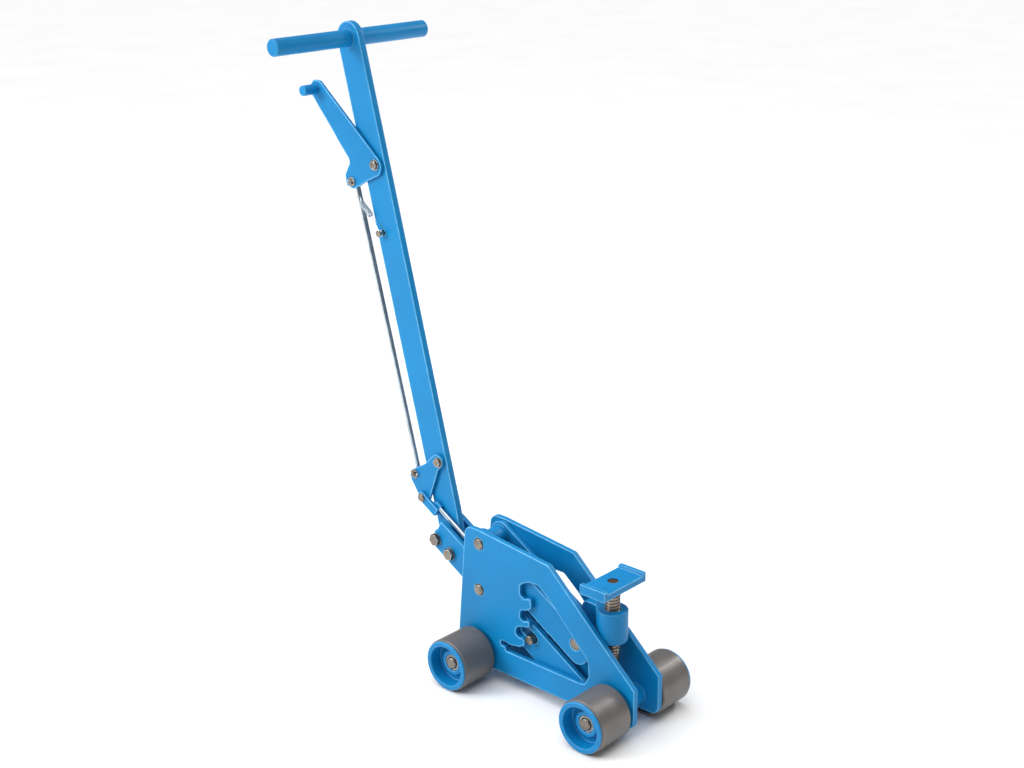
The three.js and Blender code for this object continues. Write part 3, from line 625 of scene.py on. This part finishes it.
weld("t_bar_weld_right", TB, TB_R + 0.6, -BAR_T / 2 - 0.5, "lower_arm", size=1.5)
weld("t_bar_weld_left", TB, TB_R + 0.6, BAR_T / 2 + 0.5, "lower_arm", size=1.5)
for n_, c in (("front", BOLT2), ("rear", BOLT1)):
    hy = -AO - 0.3
    lathe("handle_bolt_%s_fine" % n_, soft([(0, hy - 2), (8.0, hy - 2), (8.0, hy - 1.4), (10.4, hy - 1.4), (10.4, hy), (8, hy), (8, AO + 12), (7, AO + 13), (0, AO + 13)], 0.3, 2), c, "steel", "lower_arm", ("handle_bolt_" + n_,), 56)
    hexhead("handle_bolt_head_" + n_, c, 10.5, hy - 7.9, hy - 1.5, "lower_arm", 0.25)
    hexa = [(c[0] + 13.2 * math.cos(i * math.pi / 3 + 0.3), c[1] + 13.2 * math.sin(i * math.pi / 3 + 0.3)) for i in range(6)]
    plate("handle_nut_%s_fine" % n_, hexa, [circle(c, 8.3, 32)], AO + 0.3, AO + 11, "steel", "lower_arm", ("handle_nut_" + n_,), bev=0.9)
lathe("spring_stud_fine", soft([(0, -17.5), (4.8, -17.5), (5.4, -16.9), (5.4, -15.6), (4.0, -15.0), (4.0, 5), (0, 5)], 0.3, 2), (-223, 689), "steel", "lower_arm", ("spring_stud",), 40)
for n_, c in (("lever", LVP), ("crank", CRP)):
    lathe("%s_pivot_bolt_fine" % n_, soft([(0, -14), (6, -14), (6, -13.4), (8.6, -13.4), (8.6, -12.2), (5, -12.2), (5, 5.4), (0, 5.4)], 0.3, 2), c, "steel", "lower_arm", (n_ + "_pivot_bolt",), 56)
    hexhead(n_ + "_pivot_bolt_head", c, 7.6, -17.1, -13.5, "lower_arm", 0.1)
pin("carrier_pin_lower_fine", B, CPR, -AO - 0.2, AO + 0.2, "lower_arm", ("carrier_pin_lower",), 0.6)

# ------------------------------------------------------------------ upper arm
base = math.atan2(AN[1], AN[0])
UP = [(P1[0] + 21 * math.cos(base + math.pi * 0.94 * i / 24), P1[1] + 21 * math.sin(base + math.pi * 0.94 * i / 24)) for i in range(25)]
UP += [on_arm(P1, 20, -28)]
UP += [on_arm(P1, *q) for q in ((233, -28), (236, -27.7), (239.8, -26.4), (243, -24.4), (246.4, -21.4), (249, -17.9), (250.9, -13.2), (252, -8), (252.7, -4), (252.9, 0), (252.4, 4.6), (251, 9), (248.9, 12.8), (246, 15.9), (242.4, 18.3), (238, 19.9), (230, 20.7), (222, 21))]
for side, s in (("right", -1), ("left", 1)):
    y0, y1 = (-AO, -AI) if s < 0 else (AI, AO)
    plate("upper_arm_cheek_%s_fine" % side, UP, [circle(P1, 9.8), circle(A, CPR + 0.3, 40)], y0, y1, "blue", "upper_arm", ("upper_arm_cheek_" + side,), bev=0.9)
lathe("upper_pivot_tube_fine", soft([(9.8, -16.4), (15.5, -16.4), (15.5, 16.4), (9.8, 16.4)], 0.6, 3), P1, "blue", "upper_arm", ("upper_pivot_tube",), 56)
weld("upper_tube_weld_right", P1, 16.0, -15.6, "upper_arm", size=1.5)
weld("upper_tube_weld_left", P1, 16.0, 15.6, "upper_arm", size=1.5)
pin("carrier_pin_upper_fine", A, CPR, -AO - 0.2, AO + 0.2, "upper_arm", ("carrier_pin_upper",), 0.6)

# ------------------------------------------------------------------ carrier
CAR = rounded([(B[0] - 17, B[1] - 17, 16), (B[0] + 17, B[1] - 17, 16), (B[0] + 20, 96, 10), (SLV[0] - 25.4, 132, 4), (SLV[0] - 25.4, 186, 2), (197, 186, 8), (A[0] - 17, 148, 12)], 10)
plate("carrier_plate_fine", CAR, [circle(B, CPR + 0.3, 40), circle(A, CPR + 0.9, 40)], -BAR_T / 2, BAR_T / 2, "blue", "carrier", ("carrier_plate",), bev=1.0)
for nm, c, hr in (("upper", A, CPR + 0.9), ("lower", B, CPR + 0.3)):
    for sd, s in (("right", -1), ("left", 1)):
        lathe("carrier_boss_%s_%s" % (nm, sd), soft([(hr, s * 5.9), (14.5, s * 5.9), (14.5, s * 16.2), (hr, s * 16.2)], 0.6, 3), c, "blue", "carrier", (), 48)
lathe("threaded_sleeve_fine", soft([(12.6, SLV[1]), (SLV_R - 1, SLV[1]), (SLV_R, SLV[1] + 1), (SLV_R, SLV[2] - 1), (SLV_R - 1, SLV[2]), (12.6, SLV[2])], 0.8, 4), (SLV[0], 0), "blue", "carrier", ("threaded_sleeve",), 96, "Z")
for sd, s in (("right", -1), ("left", 1)):
    xw = SLV[0] - math.sqrt(SLV_R ** 2 - 5.8 ** 2) - 0.6
    seam("sleeve_seam_" + sd, (xw, s * 6.4, 137.5), (xw, s * 6.4, 184.5), 1.7, "carrier")


# ------------------------------------------------------------------ screw and saddle
def thread():
    seg, dz = 72, 0.5
    z0, z1 = SC_Z0, SZ0 - 8.6
    n = int((z1 - z0) / dz)
    verts, faces, rows = [], [], []
    for j in range(n + 1):
        z = z0 + (z1 - z0) * j / n
        rows.append(len(verts))
        lead = min(1.0, (z - z0) / 2.0)
        run = min(1.0, max(0.0, (z1 - z) / 2.5))
        for i in range(seg):
            f = (z / PITCH - i / seg) % 1.0
            # trapezoidal form
            if f < 0.32:
                h = 0.0
            elif f < 0.47:
                h = (f - 0.32) / 0.15
            elif f < 0.85:
                h = 1.0
            else:
                h = (1.0 - f) / 0.15
            r = SC_R - 2.3 + 2.2 * h * lead * run
            a = 2 * math.pi * i / seg
            verts.append(mm(SLV[0] + r * math.cos(a), r * math.sin(a), z))
    for j in range(n):
        for i in range(seg):
            k = (i + 1) % seg
            faces.append((rows[j] + i, rows[j] + k, rows[j + 1] + k, rows[j + 1] + i))
    faces.append(tuple(rows[0] + i for i in range(seg))[::-1])
    faces.append(tuple(rows[n] + i for i in range(seg)))
    finish_mesh("lift_screw_thread", verts, faces, set(), "screw", "screw", ("lift_screw",), 50)
    lathe("lift_screw_head", soft([(0, SZ0 - 8.8), (SC_R + 0.2, SZ0 - 8.8), (SC_R + 0.6, SZ0 - 8), (SC_R + 0.6, SZ0 - 4), (8, SZ0 - 4), (8, SZ1 - 0.9), (7.3, SZ1 - 0.25), (4.0, SZ1 - 0.5), (0, SZ1 - 0.9)], 0.3, 2), (SLV[0], 0), "peen", "screw", (), 56, "Z")


thread()
lathe("thrust_washer_fine", soft([(8.4, SZ0 - 3.6), (15, SZ0 - 3.6), (15, SZ0 - 0.3), (8.4, SZ0 - 0.3)], 0.4, 2), (SLV[0], 0), "steel", "collar", ("thrust_washer",), 56, "Z")
sad = [(-SY, SZ0), (SY, SZ0), (SY, LIPZ), (SY - 6.4, LIPZ), (SY - 8.5, SZ1), (-SY + 8.5, SZ1), (-SY + 6.4, LIPZ), (-SY, LIPZ)]


def saddle():
    """bevelled saddle: its y,z section runs along x, with the screw hole cut through"""
    ob = plate("saddle_fine", sad, [], SLV[0] - SXH, SLV[0] + SXH, "blue", "saddle_body", ("saddle",), bev=1.0, to=lambda y, z, x: mm(x, y, z))
    # the section is mirrored by the swap of axes, so turn the faces back out
    ob.data.flip_normals()
    cut = bpy.data.meshes.new("cutter")
    n, r = 56, 8.35
    v = [mm(SLV[0] + r * math.cos(2 * math.pi * i / n), r * math.sin(2 * math.pi * i / n), z) for z in (200, 260) for i in range(n)]
    f = [tuple(range(n))[::-1], tuple(range(n, 2 * n))] + [(i, (i + 1) % n, n + (i + 1) % n, n + i) for i in range(n)]
    cut.from_pydata([tuple(q) for q in v], [], f)
    co = bpy.data.objects.new("cutter", cut)
    bpy.context.scene.collection.objects.link(co)
    mod = ob.modifiers.new("hole", "BOOLEAN")
    mod.object = co
    mod.operation = "DIFFERENCE"
    mod.solver = "EXACT"
    dg = bpy.context.evaluated_depsgraph_get()
    me = bpy.data.meshes.new_from_object(ob.evaluated_get(dg))
    ob.modifiers.clear()
    ob.data = me
    bpy.data.objects.remove(co, do_unlink=True)


saddle()

# ------------------------------------------------------------------ release linkage
LEV = rounded([
    (-372.5, 892, 2), (-376.5, 905, 6), (-368, 916.5, 9), (-353, 915.5, 7), (-222.5, 806.5, 8),
    (-216, 796, 8), (-221, 782, 10), (-252, 768.2, 14), (-268, 758.5, 10), (-283.5, 751.2, 10), (-298.5, 757, 9), (-300.5, 773, 8), (-289, 793, 6), (-291, 800, 8), (-309.8, 820.4, 20), (-331.9, 846.5, 20), (-354.2, 871, 20)], 10)
plate("release_lever_fine", LEV, [circle(LVP, 5.3, 28), circle(LPIN, 4.3, 24), circle((-363, 902), 6.3, 28)], -11.8, -6.8, "blue", "lever", ("release_lever",), bev=0.8)
lathe("lever_knob_fine", soft([(0, -39.8), (7.0, -39.8), (8.2, -38.8), (8.2, -13.0), (7.4, -12.1), (6, -12.1), (6, -6.4), (0, -6.4)], 0.4, 3), (-363, 902), "bar", "lever", ("lever_knob",), 56)
CRK = rounded([(-150.5, 312.5, 2), (-136, 321, 4), (-112, 345, 10), (-95, 340, 9), (-97, 326, 6), (-106, 318), (-119, 283, 4), (-128.5, 255.5, 7), (-140, 251.5, 8), (-152, 263, 6), (-169, 286, 8), (-170, 301, 7)], 10)
plate("bell_crank_fine", CRK, [circle(CRP, 5.3, 28), circle(CPIN, 4.3, 24), circle(CLOW, 4.8, 24)], -11.8, -6.8, "blue", "crank", ("bell_crank",), bev=0.8)


def cotter(name, c, y, ang, body):
    """split pin: an eye, two legs through the clevis pin, and bent ends"""
    ux, uz = math.cos(ang), math.sin(ang)
    pts = []
    for i in range(13):
        a = math.radians(-150 + 300 * i / 12)
        d = 7.2 + 2.2 * math.cos(a) + 1.6
        o = 2.2 * math.sin(a)
        pts.append(mm(c[0] + ux * d - uz * 0.0, y + o, c[1] + uz * d))
    legs1 = [mm(c[0] + ux * t, y + 0.55, c[1] + uz * t) for t in (5.4, 2, -2, -5)]
    legs1 += [mm(c[0] + ux * -6.6 - uz * 1.6, y + 1.4, c[1] + uz * -6.6 + ux * 1.6), mm(c[0] + ux * -7.4 - uz * 4.2, y + 1.8, c[1] + uz * -7.4 + ux * 4.2)]
    legs0 = [mm(c[0] + ux * t, y - 0.55, c[1] + uz * t) for t in (5.4, 2, -2, -5)]
    legs0 += [mm(c[0] + ux * -6.6 + uz * 1.6, y - 1.4, c[1] + uz * -6.6 - ux * 1.6), mm(c[0] + ux * -7.4 + uz * 4.2, y - 1.8, c[1] + uz * -7.4 - ux * 4.2)]
    sweep(name, legs0[::-1] + pts + legs1, 0.62, "rod", body, (), 10)


u = Vector((CPIN[0] - LPIN[0], CPIN[1] - LPIN[1])).normalized()
plen = math.hypot(CPIN[0] - LPIN[0], CPIN[1] - LPIN[1])
sweep("pull_rod_shaft", [mm(LPIN[0] + u.x * t, -1.6, LPIN[1] + u.y * t) for t in [8 + (plen - 16) * i / 24 for i in range(25)]], 4.1, "rod", "pull_rod_body", ("pull_rod",), 28)
for nm, c, hr, q in (("upper", LPIN, 4.3, 1), ("lower", CPIN, 4.8, -1)):
    lathe("pull_rod_eye_" + nm, soft([(hr, -5.6), (8.2, -5.6), (9, -4.8), (9, 1.6), (8.2, 2.4), (hr, 2.4)], 0.4, 2), c, "rod", "pull_rod_body", (), 48)
for nm, c, body in (("lever", LPIN, "lever"), ("crank", CPIN, "crank")):
    lathe(nm + "_clevis_pin_fine", soft([(0, -17), (3.4, -17), (4, -16.4), (4, 3), (6.4, 3), (6.4, 5), (5.6, 5.6), (0, 5.6)], 0.3, 2), c, "steel", body, (nm + "_clevis_pin",), 40)
    lathe(nm + "_pin_washer", soft([(4.2, -13.6), (7.6, -13.6), (7.6, -12.1), (4.2, -12.1)], 0.3, 2), c, "steel", body, (), 40)
    cotter(nm + "_cotter_pin", c, -15.1, math.radians(20 if nm == "lever" else 12), body)
lathe("crank_link_pin_fine", soft([(0, -21), (6, -21), (7, -20), (7, -18.4), (4.5, -18.4), (4.5, -6), (0, -6)], 0.3, 2), CLOW, "steel", "crank", ("crank_link_pin",), 40)


def pp(s, t):
    return (CLOW[0] + PD[0] * s + PN[0] * t, CLOW[1] + PD[1] * s + PN[1] * t)


off = (PPT[0] - CLOW[0]) * PN[0] + (PPT[1] - CLOW[1]) * PN[1]
plate("push_clevis_eye", rounded([(*pp(-9, -8), 7), (*pp(-9, 8), 7), (*pp(37, 8), 1.5), (*pp(37, -8), 1.5)], 10), [circle(CLOW, 6, 32)], -17.8, -12.2, "blue", "lock", ("push_clevis",), bev=0.8)
plate("push_clevis_body", rounded([(*pp(19.5, -8), 1), (*pp(19.5, 8), 1), (*pp(24, 8), 0.6), (*pp(25, 13.5), 1), (*pp(37, 13.5), 1.5), (*pp(37, -8), 1.5)], 6), [], -12.6, -6.8, "blue", "lock", (), bev=0.8)
sl = (LOCK[0] - CLOW[0]) * PD[0] + (LOCK[1] - CLOW[1]) * PD[1]
sweep("push_rod_fine", [mm(pp(t, off)[0], PY, pp(t, off)[1]) for t in [37.2 + (sl - 4 - 37.2) * i / 24 for i in range(25)]], PR, "rod", "lock", ("push_rod",), 28)
lathe_c = LOCK
rise = (PPT[0] - LOCK[0]) * PN[0] + (PPT[1] - LOCK[1]) * PN[1]


def qq(s, t):
    return (LOCK[0] + PD[0] * s + PN[0] * t, LOCK[1] + PD[1] * s + PN[1] * t)


# the lock slider takes the darker blue: painted shade inside the arm
plate("lock_slider_fine", rounded([(*qq(-15, -14), 5), (*qq(-15, rise + 7), 5), (*qq(13, rise + 7), 5), (*qq(13, -14), 5)], 10), [circle(LOCK, 7.8, 36)], -AI + 1, AI - 1, "shaded_blue", "lock", ("lock_slider",), bev=0.9)
pin("locking_pin_fine", LOCK, LOCK_R, -PO - 1.6, PO + 1.6, "lock", ("locking_pin",), 1.2)


def spring():
    """return spring: hook round the pull rod, close coils, hook on the stud"""
    a, b = Vector((-270.5, -8.4, 733.5)), Vector((-241.0, -11.4, 712.5))
    ax = (b - a).normalized()
    n1 = Vector((0, 1, 0)).cross(ax).normalized()
    n2 = ax.cross(n1)
    L = (b - a).length
    turns, R = 12, 3.9
    pts = []
    for i in range(turns * 16 + 1):
        t = i / (turns * 16)
        g = 2 * math.pi * turns * t
        q = min(1.0, t * 14, (1 - t) * 14)
        pts.append(a + ax * (2 + (L - 4) * t) + n1 * (R * q * math.cos(g)) + n2 * (R * q * math.sin(g)))
    # hook round the pull rod, then a drawn-out end closed round the stud
    u0 = Vector((CPIN[0] - LPIN[0], 0, CPIN[1] - LPIN[1])).normalized()
    k = Vector((LPIN[0], -1.6, LPIN[1])) + u0 * 26.5
    side = u0.cross(Vector((0, 1, 0))).normalized()
    first = []
    for i in range(10):
        g = math.radians(-250 + 220 * i / 9)
        first.append(k + side * (5.4 * math.cos(g)) + Vector((0, 5.4, 0)) * math.sin(g))
    st = Vector((-223.0, -12.9, 689.0))
    last = []
    for i in range(11):
        g = math.radians(118 - 290 * i / 10)
        last.append(st + Vector((math.cos(g) * 5.0, 0, math.sin(g) * 5.0)))
    sweep("return_spring_coil", [mm(*p) for p in first + pts + last], 0.92, "rod", "lower_arm", ("return_spring",), 10)


spring()

# ------------------------------------------------------------------ stage
def floor():
    me = bpy.data.meshes.new("floor")
    S = 12.0
    me.from_pydata([(-S, -S, 0), (S, -S, 0), (S, S, 0), (-S, S, 0)], [], [(0, 1, 2, 3)])
    m, nt, bs, tc = nodes_of("floor_white")
    n = noise(nt, tc, 3.0, 3.0)
    nt.links.new(ramp(nt, n, [(0.3, (0.90, 0.90, 0.90)), (0.7, (0.93, 0.93, 0.93))]), bs.inputs["Base Color"])
    bs.inputs["Roughness"].default_value = 0.8
    bs.inputs["Specular IOR Level"].default_value = 0.1
    me.materials.append(m)
    ob = bpy.data.objects.new("floor", me)
    bpy.context.scene.collection.objects.link(ob)


floor()


def light(name, loc, target, size, power, col=(1, 1, 1)):
    l = bpy.data.lights.new(name, "AREA")
    l.shape = "SQUARE"
    l.size = size
    l.energy = power
    l.color = col
    o = bpy.data.objects.new(name, l)
    o.location = loc
    o.rotation_euler = (Vector(target) - Vector(loc)).to_track_quat("-Z", "Y").to_euler()
    bpy.context.scene.collection.objects.link(o)


light("key", (-1.9, -2.7, 1.9), (0, 0, 0.35), 1.3, 79)
light("edge", (0.9, 2.9, 2.3), (0, 0, 0.4), 0.9, 34)
sun = bpy.data.lights.new("sky", "SUN")
sun.angle = 1.3
sun.energy = 2.4
so = bpy.data.objects.new("sky", sun)
so.rotation_euler = (0.18, -0.12, 0)
bpy.context.scene.collection.objects.link(so)
w = bpy.data.worlds.new("world")
bpy.context.scene.world = w
w.use_nodes = True
wt = w.node_tree
bg = wt.nodes["Background"]
tcw = wt.nodes.new("ShaderNodeTexCoord")
sep = wt.nodes.new("ShaderNodeSeparateXYZ")
wt.links.new(tcw.outputs["Generated"], sep.inputs[0])
wr = wt.nodes.new("ShaderNodeValToRGB")
wr.color_ramp.elements[0].position = 0.0
wr.color_ramp.elements[0].color = (0.20, 0.20, 0.21, 1)
wr.color_ramp.elements[1].position = 0.75
wr.color_ramp.elements[1].color = (1, 1, 1, 1)
wt.links.new(sep.outputs["Z"], wr.inputs[0])
wt.links.new(wr.outputs[0], bg.inputs[0])
bg.inputs[1].default_value = 0.40
bpy.context.scene.view_settings.view_transform = "Standard"

for ob in [o for o in bpy.data.objects if o.type == "MESH" and not o.hide_render and o.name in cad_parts]:
    ob.data.materials.clear()
    ob.data.materials.append(MAT["steel"])
